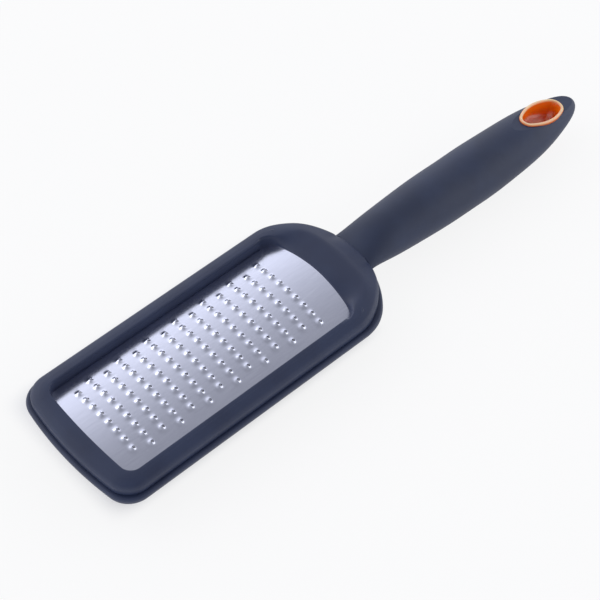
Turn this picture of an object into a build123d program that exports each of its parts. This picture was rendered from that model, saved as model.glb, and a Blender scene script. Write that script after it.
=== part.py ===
"""Rasp zester: an arched steel grating plate in a two-part moulded frame with a chunky handle.

+X runs from the head's front end to the handle's end, +Z is up and the teeth point up.
The origin is the middle of the plan, on the surface that the handle's belly rests on.
Sizes are in millimetres.
"""

import math
import os

from build123d import *

os.makedirs("parts", exist_ok=True)

# The whole tool
overall_length = 293.6
head_length = 156.2
head_width = 72.4
plate_height = 21.2
quarter_turn = 90.0
half_turn = 180.0

# Plan outline of the lower moulding; the rear bow is rounder than the half width by its excess
lower_front_bow = 172.0
lower_front_corner = 11.5
lower_rear_corner = 20.4
lower_rear_bow_excess = 7.2
lower_neck_bulge = 1.85

# Plan outline of the upper moulding, which stands back by a ledge from the lower one
ledge_width = 1.85
upper_front_bow = 170.0
upper_front_corner = 11.0
upper_rear_corner = 21.0
upper_rear_bow_excess = 1.65
upper_neck_bulge = 1.95

# Heights and rounds of the two mouldings
frame_height = 11.3
rim_rise = 0.95
lower_frame_height = 4.8
rim_side_width = 6.65
rim_front_width = 8.8
crown_drop = 1.9
shoulder_round = 1.6
ledge_round = 1.2
bottom_round = 3.1
seam_width = 0.3

# The crest behind the plate, and the slope from it down to the neck
crest_radius = 85.0
crest_round = 10.0
rear_slope_angle = 22.0
funnel_length = 10.6
funnel_lip = 0.35
funnel_half = 21.0
funnel_top_half = 27.0
funnel_crest_half = 18.0

# Opening above the plate, and the neck between its rear edge and the grip
neck_length = 21.35
opening_front_bow = 300.0
opening_front_corner = 5.5
opening_rear_bow = 140.0
opening_rear_corner = 6.5
lower_opening_inset = 4.2

# Grating plate
sheet_thickness = 0.5
arch_tuck = 1.4
flange_tuck = 3.6
end_tuck = 2.5
slip_gap = 0.15

# Teeth
tooth_columns = 14
tooth_rows = 9
first_column_setback = 11.2
last_column_setback = 15.5
side_row_setback = 7.64
tooth_length = 4.2
tooth_height = 0.95
tooth_sink = 0.2
tooth_hole_radius = 0.62
tooth_hole_setback = 0.75

# Tang: the rigid core that the two mouldings carry into the handle
tang_width = 12.0
tang_rise = 2.2
tang_drop = 3.6
tang_end_gap = 7.7
tang_round = 1.5
tang_root = 6.0

# Grip
grip_half_width = 13.9
grip_half_height = 12.35
grip_belly_height = 12.35
# Each row: share of the grip's half width, of its half height and of its belly height
grip_section_shares = [
    (0.860, 0.372, 1.231),
    (0.845, 0.453, 1.239),
    (0.849, 0.680, 1.223),
    (0.892, 0.858, 1.174),
    (0.950, 0.943, 1.126),
    (0.993, 0.988, 1.065),
    (1.000, 1.000, 1.012),
    (0.968, 0.972, 0.990),
    (0.896, 0.907, 1.002),
    (0.748, 0.765, 1.036),
    (0.547, 0.567, 1.069),
    (0.338, 0.356, 1.085),
    (0.187, 0.194, 1.093),
]

# Hanging hole and its liner
hole_setback = 20.9
hole_length = 25.6
hole_front_radius = 4.6
hole_rear_radius = 5.4
hole_side_radius = 21.0
hole_tilt = 10.0
hole_face_height = 20.5
liner_overhang = 0.8
liner_wall = 1.7
liner_rebate = 0.9
liner_lip = 1.0
liner_lip_round = 0.8

# One overrun serves every cut; a wall is upright if its normal rises less than this share
overrun = 5.0
upright_share = 0.01

front_x = -overall_length / 2
grip_front_x = front_x + head_length
grip_end_x = overall_length / 2
grip_length = grip_end_x - grip_front_x
rim_z = plate_height + rim_rise
frame_bottom_z = rim_z - frame_height
parting_z = frame_bottom_z + lower_frame_height
upper_half_width = head_width / 2 - ledge_width
opening_front_x = front_x + ledge_width + rim_front_width
opening_rear_x = grip_front_x - neck_length
opening_half_width = upper_half_width - rim_side_width
hole_x = grip_end_x - hole_setback


def head_outline(front, rear, half_width, front_bow, front_corner, rear_corner, rear_bow):
    """Closed plan outline, symmetric about X: bowed front, two corner radii, bowed rear."""
    front_turn = math.degrees(math.asin((half_width - front_corner) / (front_bow - front_corner)))
    rear_turn = math.degrees(math.asin((half_width - rear_corner) / (rear_bow - rear_corner)))
    rear_bow_depth = rear_bow * (1 - math.cos(math.radians(rear_turn)))
    rear_corner_depth = rear_corner * math.cos(math.radians(rear_turn))
    with BuildSketch() as sketch:
        with BuildLine():
            bow = JernArc((front, 0), (0, 1), front_bow, -front_turn)
            corner = JernArc(bow @ 1, bow % 1, front_corner, front_turn - quarter_turn)
            side = Line(corner @ 1, (rear - rear_bow_depth - rear_corner_depth, half_width))
            rear_arc = JernArc(side @ 1, side % 1, rear_corner, rear_turn - quarter_turn)
            JernArc(rear_arc @ 1, rear_arc % 1, rear_bow, -rear_turn)
            mirror(about=Plane.XZ)
        make_face()
    return sketch.sketch


def upper_outline():
    """The upper moulding's outline."""
    return head_outline(
        front_x + ledge_width,
        grip_front_x + upper_neck_bulge,
        upper_half_width,
        upper_front_bow,
        upper_front_corner,
        upper_rear_corner,
        upper_half_width + upper_rear_bow_excess,
    )


def lower_outline():
    """The lower moulding's outline."""
    return head_outline(
        front_x,
        grip_front_x + lower_neck_bulge,
        head_width / 2,
        lower_front_bow,
        lower_front_corner,
        lower_rear_corner,
        head_width / 2 + lower_rear_bow_excess,
    )


def opening_outline(grow, ends):
    """The opening's outline, wider by grow at the sides and longer by ends at both ends."""
    return head_outline(
        opening_front_x - ends,
        opening_rear_x + ends,
        opening_half_width + grow,
        opening_front_bow + ends,
        opening_front_corner + min(grow, ends),
        opening_rear_corner + min(grow, ends),
        opening_rear_bow + ends,
    )


# Cross-section of the plate: an arch that meets its flat flanges just inside the frame's walls
arch_rise = plate_height - parting_z
arch_half = opening_half_width + arch_tuck
plate_arch_radius = (arch_half**2 + arch_rise**2) / (2 * arch_rise)
flange_end_y = opening_half_width + flange_tuck


def plate_section(above, below):
    """Section of the sheet, for the YZ plane, from above its top surface to below it."""
    with BuildSketch() as sketch:
        with BuildLine():
            tips = []
            for depth in (-above, below):
                radius = plate_arch_radius - depth
                arch_turn = math.degrees(math.acos(1 - arch_rise / radius))
                arch = JernArc((0, plate_height - depth), (1, 0), radius, -arch_turn)
                flange = Line(arch @ 1, (flange_end_y + above, parting_z - depth))
                tips.append(flange @ 1)
            Line(tips[0], tips[1])
            mirror(about=Plane.YZ)
        make_face()
    return sketch.sketch


def tang_half(height):
    """Half of the handle's core: upwards from the parting plane, or down if height is negative."""
    tang_length = hole_x - hole_length / 2 - tang_end_gap - grip_front_x
    with BuildPart() as half:
        with BuildSketch(Plane.XY.offset(parting_z)):
            with Locations((grip_front_x - tang_root, 0)):
                Rectangle(tang_root + tang_length, tang_width, align=(Align.MIN, Align.CENTER))
        extrude(amount=height)
        far_face = half.faces().sort_by(Axis.Z)[-1 if height > 0 else 0]
        fillet(far_face.edges().filter_by(Axis.X), radius=tang_round)
    return half.part


# Upper moulding's body: a rim with a sloped crown, and the slope down to the neck
crest_x = opening_rear_x + funnel_length
with BuildPart() as rim_body:
    with BuildSketch(Plane.XY.offset(parting_z)):
        add(upper_outline())
    extrude(amount=rim_z - parting_z)
    top_face = rim_body.faces().sort_by(Axis.Z)[-1]
    chamfer(top_face.edges(), length=rim_side_width, length2=crown_drop, reference=top_face)
    with BuildSketch(Plane.XZ):
        with BuildLine():
            brow = JernArc((crest_x, rim_z), (1, 0), crest_round, -rear_slope_angle)
            fall = PolarLine(brow @ 1, head_width, direction=brow % 1)
            roof_z = rim_z + overrun
            Polyline(fall @ 1, ((fall @ 1).X, roof_z), (crest_x, roof_z), brow @ 0)
        make_face()
    revolve(axis=Axis((crest_x - crest_radius, 0, 0), (0, 0, 1)), mode=Mode.SUBTRACT)
    walls = rim_body.faces().filter_by(lambda face: abs(face.normal_at().Z) < upright_share)
    shoulders = []
    for wall in walls:
        shoulders += wall.edges().filter_by(Axis.Z, reverse=True).sort_by(Axis.Z)[1:]
    fillet(shoulders, radius=shoulder_round)
    chamfer(rim_body.faces().sort_by(Axis.Z)[0].edges(), length=seam_width)
    split(bisect_by=Plane.YZ.offset(grip_front_x), keep=Keep.BOTTOM)

# Slot in the frame's walls, in which the plate's ends and the feet of its arch sit
with BuildPart() as plate_slot:
    with BuildSketch(Plane.YZ):
        add(plate_section(slip_gap, sheet_thickness + slip_gap))
    extrude(amount=overall_length, both=True)
    with BuildSketch(Plane.XY.offset(parting_z)):
        add(opening_outline(arch_tuck, end_tuck + slip_gap))
    extrude(amount=frame_height, mode=Mode.INTERSECT)

# Funnel: the hollow slope that rises from the plate's rear edge to the crest
funnel_front_x = opening_rear_x - opening_rear_corner
funnel_turn = math.degrees(math.asin(funnel_half / plate_arch_radius))
funnel_spread = funnel_top_half - funnel_half
with BuildPart() as funnel:
    with BuildSketch(Plane.YZ.offset(funnel_front_x)):
        with BuildLine():
            lip = JernArc((0, plate_height + funnel_lip), (1, 0), plate_arch_radius, -funnel_turn)
            Polyline(lip @ 1, (funnel_top_half, roof_z), (0, roof_z))
            mirror(about=Plane.YZ)
        make_face()
    with BuildSketch(Plane.YZ.offset(crest_x)):
        with BuildLine():
            brink = Line((0, rim_z), (funnel_crest_half, rim_z))
            Polyline(brink @ 1, (funnel_crest_half + funnel_spread, roof_z), (0, roof_z))
            mirror(about=Plane.YZ)
        make_face()
    loft(ruled=True)

# Upper frame: the body with the opening for the plate, the slot, the funnel and its half tang
with BuildPart() as upper_frame:
    add(rim_body.part)
    with BuildSketch(Plane.XY.offset(parting_z)):
        add(opening_outline(0, 0))
    extrude(amount=frame_height, mode=Mode.SUBTRACT)
    add(plate_slot.part, mode=Mode.SUBTRACT)
    add(funnel.part, mode=Mode.SUBTRACT)
    add(tang_half(tang_rise))

# Lower frame: the ring that carries the plate's flanges, and the lower half of the tang
with BuildPart() as lower_frame:
    with BuildSketch(Plane.XY.offset(frame_bottom_z)):
        add(lower_outline())
    extrude(amount=lower_frame_height)
    fillet(lower_frame.faces().sort_by(Axis.Z)[-1].edges(), radius=ledge_round)
    fillet(lower_frame.faces().sort_by(Axis.Z)[0].edges(), radius=bottom_round)
    split(bisect_by=Plane.YZ.offset(grip_front_x), keep=Keep.BOTTOM)
    with BuildSketch(Plane.XY.offset(frame_bottom_z)):
        add(opening_outline(-lower_opening_inset, 0))
    extrude(amount=frame_height, mode=Mode.SUBTRACT)
    with BuildSketch(Plane.XY.offset(parting_z - sheet_thickness)):
        add(opening_outline(flange_tuck + slip_gap, end_tuck + slip_gap))
    extrude(amount=frame_height, mode=Mode.SUBTRACT)
    add(tang_half(-tang_drop))

# Tooth of the plate: half a spindle with its length along X
with BuildPart() as tooth:
    with BuildSketch():
        with BuildLine():
            crown = ThreePointArc((-tooth_length / 2, 0), (0, tooth_height), (tooth_length / 2, 0))
            Line(crown @ 1, crown @ 0)
        make_face()
    revolve(axis=Axis.X, revolution_arc=half_turn)


opening_length = opening_rear_x - opening_front_x
tooth_field_length = opening_length - first_column_setback - last_column_setback
column_pitch = tooth_field_length / (tooth_columns - 1)
row_pitch = 2 * (opening_half_width - side_row_setback) / (tooth_rows - 1)


def tooth_place(column, row, along, sink):
    """Place on the arch, sunk below the sheet's top, along from the opening of one tooth."""
    reach = (row - (tooth_rows - 1)) * row_pitch / 2
    turn = reach / plate_arch_radius
    radius = plate_arch_radius - sink
    x = opening_front_x + first_column_setback + column * column_pitch + along
    z = plate_height - plate_arch_radius + radius * math.cos(turn)
    return Location((x, radius * math.sin(turn), z), (-math.degrees(turn), 0, 0))


# Every second column of teeth is shifted by half a row pitch
tooth_cells = [
    (column, row)
    for column in range(tooth_columns)
    for row in range(1 - column % 2, 2 * tooth_rows - 1, 2)
]

# Grating plate: the arched sheet with its raised teeth, each with an opening behind its crown
with BuildPart() as grating_plate:
    with BuildSketch(Plane.YZ):
        add(plate_section(0, sheet_thickness))
    extrude(amount=overall_length, both=True)
    with BuildSketch(Plane.XY.offset(parting_z - sheet_thickness)):
        add(opening_outline(flange_tuck, end_tuck))
    extrude(amount=frame_height, mode=Mode.INTERSECT)
    with Locations([tooth_place(*cell, -tooth_hole_setback, tooth_sink) for cell in tooth_cells]):
        add(tooth.part)
    with Locations([tooth_place(*cell, 0, 0) for cell in tooth_cells]):
        Cylinder(tooth_hole_radius, 2 * tooth_length, mode=Mode.SUBTRACT)

# Sloping face near the grip's end, around the hanging hole
slope = math.radians(hole_tilt)
hole_face = Plane(
    origin=(hole_x, 0, hole_face_height),
    x_dir=(math.cos(slope), 0, -math.sin(slope)),
    z_dir=(math.sin(slope), 0, math.cos(slope)),
)


def hole_outline(grow):
    """Egg outline of the hole on its sloping face: tangent arcs, moved outwards by grow."""
    span = hole_length - hole_front_radius - hole_rear_radius
    front_reach = hole_side_radius - hole_front_radius
    rear_reach = hole_side_radius - hole_rear_radius
    foot = (front_reach**2 - rear_reach**2 + span**2) / (2 * span)
    front_turn = math.degrees(math.acos(foot / front_reach))
    rear_turn = math.degrees(math.acos((span - foot) / rear_reach))
    flank_turn = half_turn - front_turn - rear_turn
    tip = (-hole_length / 2 - grow, 0)
    with BuildSketch() as sketch:
        with BuildLine():
            nose = JernArc(tip, (0, 1), hole_front_radius + grow, -front_turn)
            flank = JernArc(nose @ 1, nose % 1, hole_side_radius + grow, -flank_turn)
            JernArc(flank @ 1, flank % 1, hole_rear_radius + grow, -rear_turn)
            mirror(about=Plane.XZ)
        make_face()
    return sketch.sketch


# Grip's body: a smooth skin through elliptical sections, which crowd together at both ends
section_turn = math.pi / (len(grip_section_shares) - 1)
with BuildPart() as grip_body:
    for index, (width, height, belly) in enumerate(grip_section_shares):
        along = grip_length * (1 - math.cos(index * section_turn)) / 2
        with BuildSketch(Plane.YZ.offset(grip_front_x + along)):
            with Locations((0, belly * grip_belly_height)):
                Ellipse(width * grip_half_width, height * grip_half_height)
    loft()
    with BuildSketch(hole_face):
        Rectangle(overall_length, head_width)
    extrude(amount=overall_length, mode=Mode.SUBTRACT)

# Handle grip: the skin with room for the tang, the hanging hole and a rebate for the lip
with BuildPart() as handle_grip:
    add(grip_body.part)
    with BuildSketch(hole_face):
        add(hole_outline(-liner_overhang))
    extrude(amount=overall_length, both=True, mode=Mode.SUBTRACT)
    with BuildSketch(hole_face):
        add(hole_outline(0))
    extrude(amount=-liner_rebate, mode=Mode.SUBTRACT)
    add(tang_half(tang_rise), mode=Mode.SUBTRACT)
    add(tang_half(-tang_drop), mode=Mode.SUBTRACT)

# Hole liner: a sleeve through the grip with a rounded lip on the sloping face
with BuildPart() as hole_liner:
    with BuildSketch(hole_face):
        add(hole_outline(-liner_overhang))
    extrude(amount=-overall_length)
    add(grip_body.part, mode=Mode.INTERSECT)
    with BuildSketch(hole_face.offset(-liner_rebate)):
        add(hole_outline(0))
    extrude(amount=liner_rebate + liner_lip)
    face_axis = Axis(hole_face.origin, hole_face.z_dir)
    fillet(hole_liner.faces().sort_by(face_axis)[-1].edges(), radius=liner_lip_round)
    with BuildSketch(hole_face):
        add(hole_outline(-liner_overhang - liner_wall))
    extrude(amount=overall_length, both=True, mode=Mode.SUBTRACT)

for name, piece in (
    ("upper_frame", upper_frame),
    ("lower_frame", lower_frame),
    ("grating_plate", grating_plate),
    ("handle_grip", handle_grip),
    ("hole_liner", hole_liner),
):
    piece.part.label = name
    export_step(piece.part, f"parts/{name}.step")
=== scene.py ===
# %% [markdown]
# # A rasp zester, dressed for its photograph
# The solids come from the CAD frame and stay where they are. Each lesson cell below makes one
# visible piece as a numpy surface, or one finish as a node material, in the same frame. Blender
# works in metres, while a maker thinks in millimetres, so MM turns one into the other.

import math

import bpy
import numpy as np
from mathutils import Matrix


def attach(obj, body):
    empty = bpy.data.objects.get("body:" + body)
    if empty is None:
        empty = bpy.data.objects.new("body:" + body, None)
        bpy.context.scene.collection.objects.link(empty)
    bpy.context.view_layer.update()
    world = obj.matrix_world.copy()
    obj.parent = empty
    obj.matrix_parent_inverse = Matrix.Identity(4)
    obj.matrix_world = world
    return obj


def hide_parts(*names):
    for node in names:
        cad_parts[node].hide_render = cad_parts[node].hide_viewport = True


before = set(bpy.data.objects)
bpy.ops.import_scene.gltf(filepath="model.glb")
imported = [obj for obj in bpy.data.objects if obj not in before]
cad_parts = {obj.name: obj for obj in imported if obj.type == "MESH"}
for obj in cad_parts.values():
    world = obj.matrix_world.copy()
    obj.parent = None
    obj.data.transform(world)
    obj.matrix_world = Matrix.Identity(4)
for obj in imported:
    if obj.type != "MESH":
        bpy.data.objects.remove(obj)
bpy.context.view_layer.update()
MM = 0.001
print("nodes", sorted(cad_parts))

# %% [markdown]
# ## Helpers for surfaces
# Every piece here is one or more grids of points. A grid becomes a mesh when each little
# four-sided patch of neighbours becomes a face, so the helpers only number points and patches.
# They keep whole arrays and never walk over single points, which keeps them short and fast.

# %% Grid faces


def grid_faces(rows, columns, close_rows=False, close_columns=False, first=0):
    """Patches of a grid whose point (i, j) has the number first + i * columns + j.

    Each patch joins (i, j), (i + 1, j), (i + 1, j + 1) and (i, j + 1); a closed side wraps round.
    """
    i = np.arange(rows if close_rows else rows - 1)[:, None]
    j = np.arange(columns if close_columns else columns - 1)[None, :]
    i2, j2 = (i + 1) % rows, (j + 1) % columns
    corners = [i * columns + j, i2 * columns + j, i2 * columns + j2, i * columns + j2]
    return first + np.stack(corners, axis=-1).reshape(-1, 4)


def enclosed_volume(points, faces):
    """Sum of a . (b x c) / 6 over both triangles of all patches, positive if they face outwards."""
    a, b, c, d = (points[faces[:, k]] for k in range(4))
    first = np.einsum("ij,ij->i", a, np.cross(b, c))
    second = np.einsum("ij,ij->i", a, np.cross(c, d))
    return float((first + second).sum() / 6)


# %% [markdown]
# ## From points to an object
# A piece of the model is a mesh object with a material. It also has to know the CAD body that it
# rides on and the node that it stands for. One function does this for every piece, so that no piece
# can forget a part of it.

# %% Mesh object


def make_piece(name, points, faces, material, node, slot, outwards=True):
    """One mesh object from points in millimetres and four-sided faces, standing for a CAD node."""
    faces = np.asarray(faces)
    if outwards and enclosed_volume(points, faces) < 0:
        faces = faces[:, ::-1]
    mesh = bpy.data.meshes.new(name)
    mesh.from_pydata((points * MM).tolist(), [], faces.tolist())
    mesh.update()
    mesh.shade_smooth()
    mesh.materials.append(material)
    piece = bpy.data.objects.new(name, mesh)
    bpy.context.scene.collection.objects.link(piece)
    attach(piece, "root")
    if node:
        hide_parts(node)
    print(name, len(points), "points", len(faces), "faces")
    return piece


# %% [markdown]
# ## Helpers for finishes
# A finish is a small tree of shader nodes. One function adds a node, sets what is constant on
# its own sockets and links what varies. Colours are written as seen on a screen, so one function
# turns them into the linear values that the shader works with.

# %% Screen colours and nodes


def colour(code):
    """Linear red, green, blue and alpha of a screen colour such as 3a4050."""
    screen = np.array([int(code[k : k + 2], 16) for k in (0, 2, 4)]) / 255
    linear = np.where(screen <= 0.04045, screen / 12.92, ((screen + 0.055) / 1.055) ** 2.4)
    return (*linear.tolist(), 1.0)


def add_node(tree, kind, settings=None, **sockets):
    """A shader node with its settings, where each named input gets a value or a link."""
    made = tree.nodes.new(kind)
    for key, value in (settings or {}).items():
        setattr(made, key, value)
    for key, value in sockets.items():
        socket = made.inputs[key.replace("_", " ")]
        if isinstance(value, bpy.types.NodeSocket):
            tree.links.new(value, socket)
        else:
            socket.default_value = value
    return made


print("screen grey 808080 is linear", round(colour("808080")[0], 3))

# %% [markdown]
# ## Starting and ending a finish
# Every finish starts from an empty tree with the object's own coordinates, so its grain stays on
# the object when the object moves. It ends with one shader at the output. Colours that vary
# come from a ramp.

# %% Finish helpers


def new_finish(name):
    """An empty material with its tree, its output and the object's own coordinates."""
    material = bpy.data.materials.new(name)
    material.use_nodes = True
    tree = material.node_tree
    tree.nodes.clear()
    place = add_node(tree, "ShaderNodeTexCoord").outputs["Object"]
    return material, tree, place


def finish_with(tree, shader):
    """Links the shader to the material's output."""
    add_node(tree, "ShaderNodeOutputMaterial", Surface=shader.outputs[0])


def ramp(tree, factor, stops):
    """A colour ramp between (place, screen colour) stops."""
    made = add_node(tree, "ShaderNodeValToRGB", Fac=factor)
    elements = made.color_ramp.elements
    elements[0].position, elements[0].color = stops[0][0], colour(stops[0][1])
    elements[1].position, elements[1].color = stops[-1][0], colour(stops[-1][1])
    for position, code in stops[1:-1]:
        elements.new(position).color = colour(code)
    return made.outputs["Color"]


# %% [markdown]
# ## The plastic of the frame
# The two mouldings are a dark slate polymer. Their steel mould was spark eroded, which leaves a
# grain of about a third of a millimetre that spreads the light, so no edge shows a sharp glint.
# Two noises do it: a fine one lifts the surface as grain and a slow one varies the colour. The
# grip is a softer skin over the same slate, so it has the same tree with its own values.

# %% Frame finish
GRAIN, GRAIN_DEPTH, SKIN_DEPTH = 0.35, 0.012, 0.010
CLOUD_SCALE, PLASTIC_IOR = 60.0, 1.5


def grained_plastic(name, dark, light, roughness, grain, depth):
    """Slate polymer with a spark-eroded grain of the given size and depth in millimetres."""
    material, tree, place = new_finish(name)
    slow = add_node(tree, "ShaderNodeTexNoise", Vector=place, Scale=CLOUD_SCALE, Detail=2.0)
    fine = add_node(
        tree, "ShaderNodeTexNoise", Vector=place, Scale=1 / (grain * MM), Detail=3.0
    )
    tone = ramp(tree, slow.outputs["Fac"], [(0.35, dark), (0.65, light)])
    relief = add_node(
        tree,
        "ShaderNodeBump",
        Strength=0.6,
        Distance=depth * MM,
        Height=fine.outputs["Fac"],
    )
    shader = add_node(
        tree,
        "ShaderNodeBsdfPrincipled",
        Base_Color=tone,
        Roughness=roughness,
        IOR=PLASTIC_IOR,
        Normal=relief.outputs["Normal"],
    )
    finish_with(tree, shader)
    return material


frame_finish = grained_plastic(
    "Slate polypropylene, spark-eroded", "222c48", "283350", 0.5, GRAIN, GRAIN_DEPTH
)
grip_finish = grained_plastic(
    "Slate soft-touch elastomer, fine matt", "222c45", "28334e", 0.55, GRAIN, SKIN_DEPTH
)
print("grain", GRAIN, "mm across and", GRAIN_DEPTH, "mm deep")

# %% [markdown]
# ## The steel of the plate
# The plate is stainless sheet, rolled and lightly brushed. Metal has no colour of its own below
# its gloss, so the shader is fully metallic, with a roughness that varies a little between
# brush marks. The marks are noise stretched along the plate.

# %% Plate finish
BRUSH_LENGTH, BRUSH_WIDTH, BRUSH_DEPTH = 9.0, 0.12, 0.004
SMOOTHEST, ROUGHEST = 0.20, 0.27


def brushed_steel(name):
    """Stainless sheet: marks of the brush's length and width that vary colour, gloss and relief."""
    length, width = 1 / (BRUSH_LENGTH * MM), 1 / (BRUSH_WIDTH * MM)
    material, tree, place = new_finish(name)
    stretched = add_node(
        tree,
        "ShaderNodeMapping",
        Vector=place,
        Scale=(length, width, width),
    )
    marks = add_node(
        tree, "ShaderNodeTexNoise", Vector=stretched.outputs["Vector"], Scale=1.0, Detail=3.0
    )
    tone = ramp(tree, marks.outputs["Fac"], [(0.3, "d4d7e8"), (0.7, "e2e5f4")])
    sheen = add_node(
        tree,
        "ShaderNodeMapRange",
        Value=marks.outputs["Fac"],
        From_Min=0.3,
        From_Max=0.7,
        To_Min=SMOOTHEST,
        To_Max=ROUGHEST,
    )
    relief = add_node(
        tree,
        "ShaderNodeBump",
        Strength=0.25,
        Distance=BRUSH_DEPTH * MM,
        Height=marks.outputs["Fac"],
    )
    shader = add_node(
        tree,
        "ShaderNodeBsdfPrincipled",
        Base_Color=tone,
        Metallic=1.0,
        Roughness=sheen.outputs["Result"],
        Normal=relief.outputs["Normal"],
    )
    finish_with(tree, shader)
    return material


plate_finish = brushed_steel("Stainless steel, lightly brushed")
print("brush marks", BRUSH_LENGTH, "by", BRUSH_WIDTH, "mm")

# %% [markdown]
# ## The plastic of the hanging hole's liner
# The liner is an orange polymer that lets some light through, and a little light that travels below
# the surface gives it a glow. Its rounded lip is painted pale, a painted highlight of the lamps on
# the round, while the bore stays deep orange. The hole's face slopes, so the height that picks the
# colour is measured in coordinates that are turned with that face.

# %% Liner finish
HOLE_X, HOLE_Z, HOLE_TILT = 125.9, 20.5, 10.0
# The first two give the height span of the colour ramp whose top paints a pale highlight on the
# lip; the third is how far light travels below the surface.
LIP_HIGHLIGHT_FROM, LIP_HIGHLIGHT_TO, GLOW_DEPTH = -3.0, 1.0, 1.5


def glowing_polymer_painted_lip(name, shades, roughness):
    """Orange polymer: glossy skin, light that travels a millimetre or two inside, painted lip
    highlight.
    """
    material, tree, place = new_finish(name)
    turned = add_node(
        tree,
        "ShaderNodeMapping",
        {"vector_type": "TEXTURE"},
        Vector=place,
        Location=(HOLE_X * MM, 0, HOLE_Z * MM),
        Rotation=(0, math.radians(HOLE_TILT), 0),
    )
    height = add_node(tree, "ShaderNodeSeparateXYZ", Vector=turned.outputs["Vector"])
    span = add_node(
        tree,
        "ShaderNodeMapRange",
        Value=height.outputs["Z"],
        From_Min=LIP_HIGHLIGHT_FROM * MM,
        From_Max=LIP_HIGHLIGHT_TO * MM,
    )
    tone = ramp(tree, span.outputs["Result"], shades)
    shader = add_node(
        tree,
        "ShaderNodeBsdfPrincipled",
        Base_Color=tone,
        Roughness=roughness,
        IOR=PLASTIC_IOR,
        Subsurface_Weight=0.3,
        Subsurface_Scale=GLOW_DEPTH * MM,
    )
    finish_with(tree, shader)
    return material


# The bore's orange rises to pale peach at the top of the lip: a painted highlight of the lamps on
# the round.
BORE_TO_PAINTED_LIP = [(0.0, "ee7410"), (0.80, "e86a12"), (0.93, "eeb27c"), (1.0, "f4d2a8")]
liner_finish = glowing_polymer_painted_lip("Orange polymer, gloss moulded, painted lip highlight", BORE_TO_PAINTED_LIP, 0.2)
# The printed span is that of the ramp which paints the lip's highlight.
print("glow over", LIP_HIGHLIGHT_TO - LIP_HIGHLIGHT_FROM, "mm of height")

# %% [markdown]
# ## Plan outlines
# The head has one kind of outline, used four times: a slightly bowed front, two corner radii
# and a bowed rear towards the handle. Tangent arcs make it, as a mould maker would draw it.
# Half of it is worked out and the other half is its mirror image.

# %% Outline of the head
FRONT_X, GRIP_X, END_X = -146.8, 9.4, 146.8
BOW_STEPS, CORNER_STEPS, SIDE_STEPS, REAR_STEPS = 14, 14, 30, 26


def half_outline(front, rear, half, front_bow, front_corner, rear_corner, rear_bow):
    """Points from the middle of the front round one side to the middle of the rear.

    Each arc is centre + radius (cos, sin) of an angle, and the arcs meet where both are tangent.
    """
    turn = math.asin((half - front_corner) / (front_bow - front_corner))
    back = math.asin((half - rear_corner) / (rear_bow - rear_corner))
    corner_x = front + front_bow - (front_bow - front_corner) * math.cos(turn)
    rear_x = rear - rear_bow + (rear_bow - rear_corner) * math.cos(back)

    def arc(x, y, radius, start, end, steps):
        angle = np.linspace(start, end, steps + 1)
        return np.stack([x + radius * np.cos(angle), y + radius * np.sin(angle)], axis=1)

    bow = arc(front + front_bow, 0, front_bow, math.pi, math.pi - turn, BOW_STEPS)
    corner = arc(
        corner_x, half - front_corner, front_corner, math.pi - turn, math.pi / 2, CORNER_STEPS
    )
    side = np.linspace((corner_x, half), (rear_x, half), SIDE_STEPS + 1)
    turn_back = arc(rear_x, half - rear_corner, rear_corner, math.pi / 2, back, CORNER_STEPS)
    neck = arc(rear - rear_bow, 0, rear_bow, back, 0, REAR_STEPS)
    return np.concatenate([bow, corner[1:], side[1:], turn_back[1:], neck[1:]])


def loop_outline(*sizes):
    """The whole closed outline, without repeating its first point."""
    half = half_outline(*sizes)
    return np.concatenate([half, (half * [1, -1])[-2:0:-1]])


# Each: front, rear, half width, front bow, front corner, rear corner and rear bow
UPPER = (FRONT_X + 1.85, GRIP_X + 1.95, 34.35, 170.0, 11.0, 21.0, 36.0)
LOWER = (FRONT_X, GRIP_X + 1.85, 36.2, 172.0, 11.5, 20.4, 43.4)
OPENING = (-136.15, -11.95, 27.7, 300.0, 5.5, 6.5, 140.0)


def opening_loop(grow, ends):
    """The opening above the plate, wider by grow at its sides and longer by ends."""
    least = min(grow, ends)
    grown = (-ends, ends, grow, ends, least, least, ends)
    return loop_outline(*(size + more for size, more in zip(OPENING, grown)))


print("outline points", len(loop_outline(*UPPER)))

# %% [markdown]
# ## The grip's skin
# The grip is a soft skin through thirteen ellipses that crowd together at both ends, as in the
# CAD. Between them the sizes follow the one smooth curve through all thirteen, which for this
# spacing is the barycentric formula. Near the tip a gently sloping face carries the hole.

# %% Shape of the grip
# Each row: half width, half height and middle height, as shares of the thickest section's sizes
GRIP_HALF_WIDTH, GRIP_HALF_HEIGHT = 13.9, 12.35
SECTION_SHARES = np.array(
    [
        (0.860, 0.372, 1.231),
        (0.845, 0.453, 1.239),
        (0.849, 0.680, 1.223),
        (0.892, 0.858, 1.174),
        (0.950, 0.943, 1.126),
        (0.993, 0.988, 1.065),
        (1.000, 1.000, 1.012),
        (0.968, 0.972, 0.990),
        (0.896, 0.907, 1.002),
        (0.748, 0.765, 1.036),
        (0.547, 0.567, 1.069),
        (0.338, 0.356, 1.085),
        (0.187, 0.194, 1.093),
    ]
)
SECTIONS = SECTION_SHARES * [GRIP_HALF_WIDTH, GRIP_HALF_HEIGHT, GRIP_HALF_HEIGHT]
TINY = 1e-9


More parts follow.
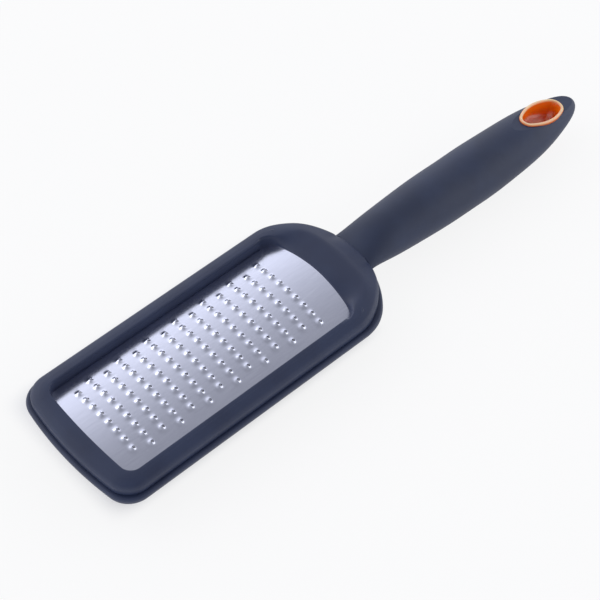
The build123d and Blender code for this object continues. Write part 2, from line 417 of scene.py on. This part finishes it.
def grip_sizes(x):
    """Half width, half height and middle height at x, from the curve through all sections.

    With node angles a_k = k pi / 12 the curve is sum(w_k f_k / d_k) / sum(w_k / d_k), where d_k is
    the distance to node k and w_k is 1, -1, 1 ... with halves at the ends.
    """
    count = len(SECTIONS)
    nodes = np.cos(np.arange(count) * math.pi / (count - 1))
    weights = (-1.0) ** np.arange(count)
    weights[[0, -1]] /= 2
    place = 1 - 2 * (np.asarray(x, float) - GRIP_X) / (END_X - GRIP_X)
    gap = place[..., None] - nodes
    gap = np.where(np.abs(gap) < TINY, TINY, gap)
    share = weights / gap
    sizes = share @ SECTIONS / share.sum(axis=-1)[..., None]
    return sizes[..., 0], sizes[..., 1], sizes[..., 2]


middle_x = (GRIP_X + END_X) / 2
print("grip at its middle", [round(float(v), 2) for v in grip_sizes(middle_x)])

# %% [markdown]
# ## The upper moulding
# This ring holds the plate down. Its top is softly crowned and falls outwards. Behind the plate
# it rises over a hollow to a round crest, and drops from there to the handle. All of that is one
# height for each place in the plan, the lowest of three sheets with soft joints. The ring
# is then a grid whose one side runs round the head and whose other side runs round its section.

# %% Joints between heights
RIM_Z, PARTING_Z, BOTTOM_Z = 22.15, 15.65, 10.85
PLATE_Z, ARCH_RADIUS = 21.2, 79.06
JOINT = 0.9


def soft_least(a, b, width):
    """The lower of two heights, with the joint between them rounded over the given width."""
    share = np.clip(0.5 + 0.5 * (b - a) / width, 0, 1)
    return b + (a - b) * share - width * share * (1 - share)


def step(x):
    """0 below 0, 1 above 1 and a smooth rise between."""
    x = np.clip(x, 0, 1)
    return x * x * (3 - 2 * x)


print("step halfway", float(step(0.5)), "and joint of two equal heights", soft_least(0, 0, JOINT))

# %% [markdown]
# ## Crown and crest
# The rim is crowned so that it feels round in the hand and lets the food slide off. Behind
# the opening the crest is an arc in the plan, and beyond it the top falls to the handle. Both
# are plain formulas of a distance, which numpy works out for all places at once.

# %% Crown and crest
CREST_X, CREST_RADIUS = -1.35, 85.0
CROWN_FALL, CROWN_WIDTH, CROWN_POWER = 1.9, 6.65, 1.3
BROW, FALL_ANGLE = 10.0, math.radians(22)


def crown_height(reach):
    """The rim's crown: level inside, falling ever more steeply over its outer width."""
    return RIM_Z - CROWN_FALL * np.clip(1 - reach / CROWN_WIDTH, 0, 1) ** CROWN_POWER


def rear_slope(x, y):
    """Beyond the crest's arc: a round brow, then a straight fall at the fall's angle."""
    beyond = np.hypot(x - (CREST_X - CREST_RADIUS), y) - CREST_RADIUS
    bend = BROW * math.sin(FALL_ANGLE)
    curved = BROW - np.sqrt(BROW**2 - np.clip(beyond, 0, bend) ** 2)
    return RIM_Z - curved - np.clip(beyond - bend, 0, None) * math.tan(FALL_ANGLE)


print("rim's edge at", round(float(crown_height(0)), 2), "mm")

# %% [markdown]
# ## The hollow behind the plate
# A thumb-wide hollow leads from the plate's rear edge up to the crest, so that food doesn't
# catch there. Its height depends on how far a place is from the opening's edge, and it uses
# the opening's own points, so the hollow always begins on the plate.

# %% Hollow behind the plate
HOLLOW_FRONT, LIP_RISE = -19.5, 0.35
CLIMB_LONG, CLIMB_SHORT = 10.6, 0.9
CLIMB_FROM, CLIMB_OVER = 11.0, 15.0
ABOVE_ALL = 5


def hollow_height(start, reach):
    """The hollow behind the plate, as a height at this reach from each point of the opening.

    It starts at the plate's arch and climbs to the rim. The climb is longest behind the
    middle of the plate, and shortens to a steep wall where the opening turns its corners.
    """
    x, y = start[:, :1], np.abs(start[:, 1:])
    lip = PLATE_Z + LIP_RISE - y**2 / (2 * ARCH_RADIUS)
    length = CLIMB_LONG * (1 - step((y - CLIMB_FROM) / CLIMB_OVER)) + CLIMB_SHORT
    climb = np.clip(reach / length, 0, 2)
    return np.where(x > HOLLOW_FRONT, lip + (RIM_Z - lip) * climb, RIM_Z + ABOVE_ALL)


print("hollow climbs", round(RIM_Z - PLATE_Z - LIP_RISE, 2), "mm behind the plate's middle")

# %% [markdown]
# ## Distance to an outline
# Crown and rounded edges depend on the distance to the outline, which isn't the same as the
# distance along the grid. The nearest point of each straight patch of the outline is a clipped
# projection, and the least of all those distances is the answer.

# %% Distance to an outline


def nearest(points, line):
    """Distance from each point to a closed line of points, patch by patch of the line."""
    start, end = line, np.roll(line, -1, axis=0)
    along = end - start
    offset = points[..., None, :] - start
    share = np.clip((offset * along).sum(-1) / (along**2).sum(-1), 0, 1)
    return np.sqrt(((offset - share[..., None] * along) ** 2).sum(-1).min(-1))


rim_width = nearest(opening_loop(0, 0), loop_outline(*UPPER)).min()
print("opening to rim", round(float(rim_width), 2), "mm")

# %% [markdown]
# ## Building the upper moulding
# Each row of the grid runs from the opening outwards, with more points where an edge is
# rounded. The top's heights are set by the sheets above, less the rounds of the shoulder and the
# brink. Where the ring meets the grip, its top is lifted to the grip's skin, so no step shows.

# %% Upper moulding
SHOULDER, BRINK, FOOT = 1.6, 0.5, 0.3
NEAR_END, BLEND_WIDTH, BLEND_LENGTH = 6.0, 3.0, 8.0
FROM_EDGE = np.array([4.6, 3.6, 2.8, 2.2, 1.7, 1.3, 0.95, 0.65, 0.4, 0.2, 0.08, 0.0])


def round_edge(reach, radius):
    """How far a rounded edge lies below its sharp one, at this distance from it."""
    return radius - np.sqrt(np.clip(radius**2 - np.clip(radius - reach, 0, None) ** 2, 0, None))


def upper_moulding():
    """Closed ring: inner wall, crowned top, outer wall, seam and underside."""
    true_outer = loop_outline(*UPPER)
    outer = np.stack([np.minimum(true_outer[:, 0], GRIP_X), true_outer[:, 1]], axis=1)
    inner = opening_loop(0, 0)
    width = np.hypot(*(outer - inner).T)[:, None]
    near = np.concatenate([np.linspace(0, BRINK, 6), np.linspace(JOINT, NEAR_END, 8)])
    near = near / width.mean()
    far = 1 - FROM_EDGE[None, :] / width
    middle = near[-1] + (far[:, :1] - near[-1]) * np.linspace(0, 1, 26)[None, 1:-1]
    shares = np.concatenate([np.repeat(near[None, :], len(inner), 0), middle, far], axis=1)
    plan = inner[:, None, :] + shares[..., None] * (outer - inner)[:, None, :]
    reach = nearest(plan, true_outer)
    brink = nearest(plan, inner)
    x, y = plan[..., 0], plan[..., 1]
    top = soft_least(crown_height(reach), rear_slope(x, y), JOINT)
    top = soft_least(top, hollow_height(inner, shares * width), JOINT)
    grip_w, grip_h, grip_z = grip_sizes(np.array(GRIP_X))
    skin = grip_z + grip_h * np.sqrt(np.clip(1 - (y / grip_w) ** 2, 0, 1))
    end_reach = nearest(np.stack([np.full_like(y, GRIP_X), y], axis=-1), true_outer)
    end_top = soft_least(crown_height(end_reach), rear_slope(GRIP_X, y), JOINT)
    inside = step((grip_w - np.abs(y)) / BLEND_WIDTH)
    towards = step((x - (GRIP_X - BLEND_LENGTH)) / BLEND_LENGTH)
    top = top + (skin - end_top) * inside * towards
    top = top - round_edge(reach, SHOULDER) - round_edge(brink, BRINK)
    surface = np.concatenate([plan, top[..., None]], axis=-1)

    def level(loop, z):
        return np.concatenate([loop, np.full((len(loop), 1), z)], axis=1)[:, None, :]

    inset = outer + (inner - outer) / width * FOOT
    wall_z = np.linspace(0, 1, 5)[None, 1:-1, None]
    foot = level(outer, PARTING_Z + FOOT)
    wall = surface[:, -1:] + (foot - surface[:, -1:]) * wall_z
    wall_in = level(inner, PARTING_Z) + (surface[:, :1] - level(inner, PARTING_Z)) * wall_z
    ring = np.concatenate(
        [
            level(inner, PARTING_Z),
            wall_in,
            surface,
            wall,
            foot,
            level(inset, PARTING_Z),
        ],
        axis=1,
    )
    rows, columns = ring.shape[:2]
    return ring.reshape(-1, 3), grid_faces(rows, columns, True, True)


make_piece("upper_moulding", *upper_moulding(), frame_finish, "upper_frame", "frame_plastic")

# %% [markdown]
# ## The lower moulding
# The lower ring carries the plate's flanges and stands out by a ledge below the upper one, with
# a rounded edge on top and a larger round below, so that it lies well on the rim of a bowl. Its
# section is a list of stations, and each station is a plan outline with one height.

# %% Lower moulding
LEDGE_ROUND, BASE_ROUND, POCKET_DEPTH = 1.2, 3.1, 0.55
BORE_INSET, POCKET_SIDE, POCKET_END = 4.2, 3.75, 2.65


def lower_moulding():
    """Closed ring: bore, pocket for the flanges, ledge with its round, wall and bottom round."""
    true_outer = loop_outline(*LOWER)
    inner, pocket = opening_loop(-BORE_INSET, 0), opening_loop(POCKET_SIDE, POCKET_END)
    outer = np.stack([np.minimum(true_outer[:, 0], GRIP_X), true_outer[:, 1]], axis=1)
    away = (inner - outer) / np.hypot(*(inner - outer).T)[:, None]
    ledge_angle = np.radians([90, 75, 60, 45, 30, 15, 0])
    base_angle = ledge_angle[::-1]
    pocket_z = PARTING_Z - POCKET_DEPTH
    stations = [(inner, BOTTOM_Z), (inner, pocket_z), (pocket, pocket_z), (pocket, PARTING_Z)]
    for sign, edge_z, radius, angles in (
        (-1, PARTING_Z, LEDGE_ROUND, ledge_angle),
        (1, BOTTOM_Z, BASE_ROUND, base_angle),
    ):
        stations += [
            (outer + away * radius * (1 - math.cos(a)), edge_z + sign * radius * (1 - math.sin(a)))
            for a in angles
        ]
    ring = np.stack(
        [np.concatenate([loop, np.full((len(loop), 1), z)], axis=1) for loop, z in stations], axis=1
    )
    ring[..., 0] = np.minimum(ring[..., 0], GRIP_X)
    rows, columns = ring.shape[:2]
    return ring.reshape(-1, 3), grid_faces(rows, columns, True, True)


make_piece("lower_moulding", *lower_moulding(), frame_finish, "lower_frame", "frame_plastic")

# %% [markdown]
# ## The grating plate
# The plate is one thin sheet: an arch that reaches into the frame's walls on both sides, and a
# flat flange between the two mouldings. The sheet is laid out flat first, as a sheet-metal
# worker would mark it, and one formula then bends the flat layout to the arch.

# %% Section of the plate
FLANGE_END = 31.3
ARCH_TURN = math.acos(1 - (PLATE_Z - PARTING_Z) / ARCH_RADIUS)


def sheet_place(x, s, lift):
    """Place of a point that lies at arc length s from the ridge and lift above the sheet.

    The arch turns by s / radius until it meets the parting plane, and the flange goes on level.
    """
    turn = np.clip(s / ARCH_RADIUS, -ARCH_TURN, ARCH_TURN)
    beyond = s - turn * ARCH_RADIUS
    y = (ARCH_RADIUS + lift) * np.sin(turn) + beyond
    z = PLATE_Z - ARCH_RADIUS + (ARCH_RADIUS + lift) * np.cos(turn)
    return np.stack([x, y, z], axis=-1)


print("arch turns", round(math.degrees(ARCH_TURN), 1), "degrees to each side")

# %% [markdown]
# ## One tooth
# A punch has pushed up each tooth and torn a small hole behind its crown. A bought-in cone
# would sit on the sheet, but a real tooth is the sheet itself. So a block of patches gives way to
# rings that shrink from the block's edge to the hole, and a formula lifts those rings.

# %% Shape of a tooth
COLUMN_PITCH, ROW_PITCH, HOLE_RADIUS = 7.5, 5.015, 0.78
TOOTH_COLUMNS, TOOTH_ROWS, FIRST_TOOTH = 14, 9, -124.95
BLOCK_X, BLOCK_S = 6, 4
STEP_X, STEP_S = COLUMN_PITCH / BLOCK_X, ROW_PITCH / BLOCK_S
TOOTH_HEIGHT, TOOTH_FRONT, RAMP_LENGTH = 0.85, -2.9, 2.3
CROWN_END, DROP_LENGTH, TOE_WIDTH, WIDENING = -0.7, 1.5, 1.0, 0.4


def tooth_lift(x, s):
    """Height of a tooth above the sheet, at x and s from its hole.

    A ramp rises along x to a crown at the hole's front and drops into the hole; across, the
    height dies away as exp(-(s / width)^2), and the ramp is narrower at its foot.
    """
    rise = step((x - TOOTH_FRONT) / RAMP_LENGTH)
    fall = 1 - step((x - CROWN_END) / DROP_LENGTH)
    width = TOE_WIDTH + WIDENING * rise
    return TOOTH_HEIGHT * np.minimum(rise, fall) * np.exp(-((s / width) ** 2))


def tooth_block():
    """Rings from the edge of a block of 6 by 4 patches to the hole, as x, s and lift."""
    x_edge = (np.arange(BLOCK_X + 1) - BLOCK_X // 2) * STEP_X
    s_edge = (np.arange(BLOCK_S + 1) - BLOCK_S // 2) * STEP_S
    edge = np.concatenate(
        [
            np.stack([x_edge[:-1], np.full(BLOCK_X, s_edge[0])], axis=1),
            np.stack([np.full(BLOCK_S, x_edge[-1]), s_edge[:-1]], axis=1),
            np.stack([x_edge[:0:-1], np.full(BLOCK_X, s_edge[-1])], axis=1),
            np.stack([np.full(BLOCK_S, x_edge[0]), s_edge[:0:-1]], axis=1),
        ]
    )
    angle = np.arctan2(edge[:, 1], edge[:, 0])
    hole = HOLE_RADIUS * np.stack([np.cos(angle), np.sin(angle)], axis=1)
    share = np.array([0, 0.03, 0.1, 0.22, 0.36, 0.52, 0.7, 1.0])[:, None, None]
    flat = hole + share * (edge - hole)
    lift = tooth_lift(flat[..., 0], flat[..., 1]) * (share[..., 0] < 1)
    return flat[..., 0], flat[..., 1], lift


print("tooth stands up", round(float(tooth_block()[2].max()), 2), "mm")

# %% [markdown]
# ## The whole sheet
# The sheet's own outline is the opening's, moved out to lie in the pocket of the frame. It is
# bowed at both ends, so every line of the lattice has its own first and last place.

# %% Outline of the sheet
PLATE_OUTLINE = (-138.65, -9.45, FLANGE_END, 302.5, 8.0, 9.0, 142.5)


def plate_outline_x(y, front):
    """The x where the plate's own outline ends at this y, at its front or its rear."""
    half = half_outline(*PLATE_OUTLINE)
    turn = int(np.argmax(half[:, 1] >= FLANGE_END - 1e-6))
    last = len(half) - 1 - int(np.argmax(half[::-1, 1] >= FLANGE_END - 1e-6))
    part = half[: turn + 1] if front else half[last:][::-1]
    return np.interp(np.abs(y), part[:, 1], part[:, 0])


print("sheet from", plate_outline_x(0, True), "to", plate_outline_x(0, False))

# %% [markdown]
# ## Lattice, blocks and thickness
# Teeth stand in staggered columns, so their blocks alternate like bricks. All blocks share the
# points of the lattice at their edges, and equal points are joined, which leaves one skin. A
# thickness modifier then makes it sheet metal, which is simpler than a second skin below.

# %% Grating plate
SHEET_THICKNESS, JOIN_SCALE = 0.5, 1e4


def grating_sheet():
    """Lattice patches outside the blocks, and the rings of every tooth inside its block."""
    side = np.arange(2 * TOOTH_ROWS + 1) * STEP_S
    foot = ARCH_RADIUS * ARCH_TURN
    brim = foot + FLANGE_END - ARCH_RADIUS * math.sin(ARCH_TURN)
    half = np.concatenate([side, np.linspace(side[-1], foot, 7)[1:], [(foot + brim) / 2, brim]])
    s = np.concatenate([-half[:0:-1], half])
    first = FIRST_TOOTH - COLUMN_PITCH / 2
    cells_x = first + np.arange(BLOCK_X * TOOTH_COLUMNS + 1) * STEP_X
    y = sheet_place(0 * s, s, 0)[:, 1]
    front, rear = plate_outline_x(y, True), plate_outline_x(y, False)
    ahead = np.array([0, 0.2, 0.4, 0.6, 0.8])[:, None]
    x = np.concatenate(
        [
            front + ahead * (first - front),
            np.repeat(cells_x[:, None], len(s), 1),
            cells_x[-1] + (1 - ahead[::-1]) * (rear - cells_x[-1]),
        ]
    )
    lattice = sheet_place(x, np.repeat(s[None, :], len(x), 0), 0.0)
    rows, columns = lattice.shape[:2]
    faces = grid_faces(rows, columns)
    i, j = np.divmod(np.arange(rows * columns).reshape(rows, columns)[:-1, :-1].ravel(), columns)
    middle = len(half) - 1
    column = (i - len(ahead)) // BLOCK_X
    in_x = (i >= len(ahead)) & (i < len(ahead) + BLOCK_X * TOOTH_COLUMNS)
    row_reach = np.where(column % 2 == 0, TOOTH_ROWS - 1, TOOTH_ROWS) * 2
    in_block = in_x & (np.abs(j + 0.5 - middle) < row_reach)
    parts, patches, count = [lattice.reshape(-1, 3)], [faces[~in_block]], rows * columns
    bx, bs, lift = tooth_block()
    block_faces = grid_faces(*bx.shape, close_columns=True)
    for tooth_column in range(TOOTH_COLUMNS):
        for row in range(1 - tooth_column % 2, 2 * TOOTH_ROWS - 1, 2):
            centre = (row - (TOOTH_ROWS - 1)) * ROW_PITCH / 2
            x_place = FIRST_TOOTH + tooth_column * COLUMN_PITCH
            parts.append(sheet_place(x_place + bx, centre + bs, lift).reshape(-1, 3))
            patches.append(block_faces + count)
            count += bx.size
    points = np.concatenate(parts)
    faces = np.concatenate(patches)
    keys = np.round(points * JOIN_SCALE).astype(np.int64)
    _, index, back = np.unique(keys, axis=0, return_index=True, return_inverse=True)
    return points[index], back.reshape(-1)[faces]


plate_points, plate_faces = grating_sheet()
grating_plate = make_piece(
    "grating_sheet", plate_points, plate_faces, plate_finish, "grating_plate", "plate_steel", False
)
up = sum(face.normal.z for face in grating_plate.data.polygons)
if up < 0:
    grating_plate.data.flip_normals()
sheet = grating_plate.modifiers.new("Sheet thickness", "SOLIDIFY")
sheet.thickness, sheet.offset = SHEET_THICKNESS * MM, -1.0
print("sheet", SHEET_THICKNESS, "mm thick, faces up", up > 0)

# %% [markdown]
# ## The hanging hole's liner
# The liner is a sleeve through the grip with a rounded lip on top. Seen along the hole it is an
# egg of tangent arcs, blunt towards the handle's end. Moving each arc out by the same amount keeps
# the arcs tangent, so one function gives the bore, the sleeve and the lip.

# %% Egg outline
EGG_LENGTH, NOSE, TAIL, FLANK = 25.6, 4.6, 5.4, 21.0


def egg_outline(grow, steps=18):
    """Egg on the sloping face: nose, flank and tail arcs that are tangent, moved out by grow."""
    length, nose, tail, flank = EGG_LENGTH, NOSE, TAIL, FLANK
    span = length - nose - tail
    a, b = flank - nose, flank - tail
    foot = (a * a - b * b + span * span) / (2 * span)
    turn, back = math.acos(foot / a), math.acos((span - foot) / b)
    nose_x = -length / 2 + nose
    tail_x = length / 2 - tail
    flank_x, flank_y = nose_x + foot, -math.sqrt(a * a - foot * foot)
    pieces = []
    for x, y, radius, start, end in (
        (nose_x, 0, nose, math.pi, math.pi - turn),
        (flank_x, flank_y, flank, math.pi - turn, back),
        (tail_x, 0, tail, back, 0),
    ):
        angle = np.linspace(start, end, steps + 1)[1:]
        reach = radius + grow
        pieces.append(np.stack([x + reach * np.cos(angle), y + reach * np.sin(angle)], axis=1))
    first = np.array([[-length / 2 - grow, 0]])
    half = np.concatenate([first, *pieces])
    return np.concatenate([half, (half * [1, -1])[-2:0:-1]])


print("egg is", round(float(np.ptp(egg_outline(0)[:, 1])), 2), "mm wide")

# %% [markdown]
# ## From the sloping face to the belly
# The outline lies on a face that slopes with the grip, and the sleeve goes straight down from
# it to the grip's rounded belly. Where that belly is met has no simple formula, so the depth is
# guessed and corrected a few times. Each correction moves all points at once.

# %% Places on the sloping face
TILT = math.radians(HOLE_TILT)
FIRST_DEPTH, CORRECTIONS = 15.0, 12


def on_face(plan, height):
    """Places of points on the sloping face, lifted by height along its normal."""
    u, v = plan[..., 0], plan[..., 1]
    x = HOLE_X + u * math.cos(TILT) + height * math.sin(TILT)
    z = HOLE_Z - u * math.sin(TILT) + height * math.cos(TILT)
    return np.stack([x, v, z], axis=-1)


def depth_to_belly(plan):
    """How far down the hole's direction the grip's underside lies, by repeated correction."""
    depth = np.full(plan.shape[:-1], FIRST_DEPTH)
    for _ in range(CORRECTIONS):
        place = on_face(plan, -depth)
        wide, tall, middle = grip_sizes(place[..., 0])
        under = middle - tall * np.sqrt(np.clip(1 - (place[..., 1] / wide) ** 2, 0, 1))
        depth = depth + (place[..., 2] - under) / math.cos(TILT)
    return depth


print("sleeve goes down", round(float(depth_to_belly(egg_outline(0)).max()), 1), "mm")

# %% [markdown]
# ## The liner itself
# Its section runs up the bore, over a lip that is round on top and slopes inwards, down to a
# rebate in the grip, and along the sleeve to the belly. Each station of the section is one egg at
# one height, and the stack of eggs is a closed grid.

# %% Liner
BORE, SLEEVE, LIP = -2.5, -0.8, 0.0
LIP_RADIUS, LIP_HEIGHT, REBATE, BELLY_GAP = 0.75, 0.25, 0.9, 0.05
INNER_SLOPE = [(BORE, -3.2), (-2.42, -2.3), (-2.2, -1.4), (-1.9, -0.6), (-1.62, 0.1)]


def hole_liner():
    """Closed sleeve: bore, rounded lip, rebate, outside and the edge at the belly."""
    angle = np.radians([150, 130, 110, 90, 70, 50, 30, 10, 0])
    middle = LIP - LIP_RADIUS
    lip_rings = [on_face(egg_outline(grow), high) for grow, high in INNER_SLOPE]
    for a in angle:
        grow, high = middle + LIP_RADIUS * math.cos(a), LIP_HEIGHT + LIP_RADIUS * math.sin(a)
        lip_rings.append(on_face(egg_outline(grow), high))
    low_bore, low_sleeve = (
        on_face(egg_outline(grow), -depth_to_belly(egg_outline(grow)) + BELLY_GAP)
        for grow in (BORE, SLEEVE)
    )
    rings = [low_bore, *lip_rings]
    rings += [on_face(egg_outline(grow), -REBATE) for grow in (LIP, SLEEVE)]
    rings += [low_sleeve]
    surface = np.stack(rings, axis=1)
    rows, columns = surface.shape[:2]
    return surface.reshape(-1, 3), grid_faces(rows, columns, True, True)


make_piece("lipped_sleeve", *hole_liner(), liner_finish, "hole_liner", "liner_plastic")

# %% [markdown]
# ## The grip keeps its solid
# The grip's solid already has the real shape, a smooth skin with the hole through it, so it
# needs no second surface. It only gets its finish, and stays where the frame put it.

# %% Finish of the grip
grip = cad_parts["handle_grip"]
grip.data.materials.clear()
grip.data.materials.append(grip_finish)
print("grip wears", grip_finish.name)

# %% [markdown]
# ## Helpers for the ground
# The ground's shader needs a little arithmetic on light paths and places. A math node takes two
# values, and either may be a number or a link, so a helper sorts that out. A second helper makes a
# soft-edged band from two smooth ramps.

# %% Arithmetic in a shader


def combine(tree, operation, first, second):
    """One arithmetic step on two values, each of which is a number or a link."""
    made = add_node(tree, "ShaderNodeMath", {"operation": operation})
    for socket, value in zip(made.inputs, (first, second)):
        if isinstance(value, bpy.types.NodeSocket):
            tree.links.new(value, socket)
        else:
            socket.default_value = value
    return made.outputs[0]


def band(tree, value, rise, fall):
    """1 between two softened ends in metres and 0 outside them."""
    ends = [
        add_node(
            tree,
            "ShaderNodeMapRange",
            {"interpolation_type": "SMOOTHSTEP"},
            Value=value,
            From_Min=low,
            From_Max=high,
            To_Min=start,
            To_Max=1.0 - start,
        ).outputs["Result"]
        for (low, high), start in ((rise, 0.0), (fall, 1.0))
    ]
    return combine(tree, "MULTIPLY", *ends)


print("math steps known to a shader:", "MAXIMUM, MULTIPLY and SUBTRACT")

# %% [markdown]
# ## The ground
# The tool lies on white paper. Where the camera, a reflection or a clear body looks straight at the
# paper, part of it glows, so it looks white while it still keeps the tool's soft shadow. Right
# under the head the glow is faded out over a fixed soft-edged box, which is painted shade: there
# the paper shows only its own diffuse shade, and that makes the teeth's holes look dark.

# %% Ground
GROUND_SIZE, GLOW_PORTION = 4.0, 0.85
# Ends of the box under the head, in metres, where the glow is faded out as painted shade.
PAINTED_SHADE_X = ((-0.150, -0.130), (-0.012, 0.002))
PAINTED_SHADE_Y = ((-0.034, -0.020), (0.036, 0.050))
bpy.ops.mesh.primitive_plane_add(size=GROUND_SIZE)
ground = bpy.context.object
ground.name = "Ground"
ground_finish, tree, place = new_finish("White paper sweep")
paper = add_node(tree, "ShaderNodeBsdfDiffuse", Color=colour("fbfbfc"))
glow = add_node(tree, "ShaderNodeEmission", Color=colour("ffffff"), Strength=1.0)
paths = add_node(tree, "ShaderNodeLightPath").outputs
straight = combine(tree, "MAXIMUM", paths["Is Camera Ray"], paths["Is Transmission Ray"])
shiny = combine(tree, "MAXIMUM", straight, paths["Is Glossy Ray"])
across = add_node(tree, "ShaderNodeSeparateXYZ", Vector=place).outputs
# The painted shade: the glow is taken away inside this box under the head.
along_head = band(tree, across["X"], *PAINTED_SHADE_X)
across_head = band(tree, across["Y"], *PAINTED_SHADE_Y)
shade = combine(tree, "MULTIPLY", along_head, across_head)
lit = combine(tree, "SUBTRACT", 1.0, shade)
portion = combine(tree, "MULTIPLY", shiny, combine(tree, "MULTIPLY", lit, GLOW_PORTION))
shader = add_node(tree, "ShaderNodeMixShader", Fac=portion)
tree.links.new(paper.outputs[0], shader.inputs[1])
tree.links.new(glow.outputs[0], shader.inputs[2])
finish_with(tree, shader)
ground.data.materials.append(ground_finish)
print("ground glows by", GLOW_PORTION, "outside the head's shade")

# %% [markdown]
# ## The room's light
# Most of the light comes from all round, as in a photographer's tent that is bright at its sides
# and dimmer overhead. That is why the steel is bright at the front and greyer where it curves
# towards the camera. The brightness follows one slanted direction, so a dot product is enough.

# %% World
UPWARDS = (0.05, -0.35, 0.9)
world = bpy.data.worlds.new("Studio")
bpy.context.scene.world = world
world.use_nodes = True
tree = world.node_tree
tree.nodes.clear()
direction = add_node(tree, "ShaderNodeTexCoord").outputs["Generated"]
height = add_node(tree, "ShaderNodeVectorMath", {"operation": "DOT_PRODUCT"})
tree.links.new(direction, height.inputs[0])
height.inputs[1].default_value = UPWARDS
level = add_node(
    tree,
    "ShaderNodeMapRange",
    Value=height.outputs["Value"],
    From_Min=-0.3,
    From_Max=0.9,
    To_Min=1.72,
    To_Max=0.38,
)
room = add_node(
    tree,
    "ShaderNodeBackground",
    Color=colour("f4f6ff"),
    Strength=level.outputs["Result"],
)
add_node(tree, "ShaderNodeOutputWorld", Surface=room.outputs[0])
print("room light from", level.inputs["To Max"].default_value, "overhead")

# %% [markdown]
# ## Two soft lamps
# A small softbox behind the tool to the left puts the bright spot on each tooth, in front of
# its dark hole. A large one low on the right lifts the near walls and the side of the handle.
# Both are weak, so that every colour still looks as it is written.

# %% Lamps


def soft_lamp(name, place, target, size, power, tint):
    """A square area lamp at a place in metres that faces the target."""
    data = bpy.data.lights.new(name, "AREA")
    data.size, data.energy, data.color = size, power, colour(tint)[:3]
    lamp = bpy.data.objects.new(name, data)
    bpy.context.scene.collection.objects.link(lamp)
    away = np.array(target) - np.array(place)
    flat = math.hypot(away[0], away[1])
    lamp.location = place
    heading = math.atan2(away[1], away[0]) - math.pi / 2
    lamp.rotation_euler = (math.atan2(flat, -away[2]), 0, heading)
    return lamp


MIDDLE = (0.0, 0.0, 0.015)
soft_lamp("Left rear softbox", (-0.45, 0.85, 0.62), MIDDLE, 0.55, 1.3, "ffffff")
soft_lamp("Right softbox", (1.0, -0.6, 0.36), MIDDLE, 1.2, 5.0, "ffffff")

# %% [markdown]
# ## The camera
# The camera stands where the photograph's did: in front of the head to its near side, looking
# down by about 53 degrees with a long lens, which keeps the two long sides almost parallel.

# %% Camera
SENSOR, LENS = 36.0, 109.82
LOOK_DOWN, HEADING = 52.717, -41.588
camera_data = bpy.data.cameras.new("Camera")
camera_data.sensor_width = SENSOR
camera_data.lens = LENS
camera = bpy.data.objects.new("Camera", camera_data)
camera.location = (-0.337157, -0.356037, 0.633496)
camera.rotation_euler = (math.radians(90 - LOOK_DOWN), 0, math.radians(HEADING))
camera_data.clip_start = 0.01
bpy.context.scene.collection.objects.link(camera)
bpy.context.scene.camera = camera
bpy.context.scene.view_settings.view_transform = "Standard"
print("camera", [round(v, 3) for v in camera.location])
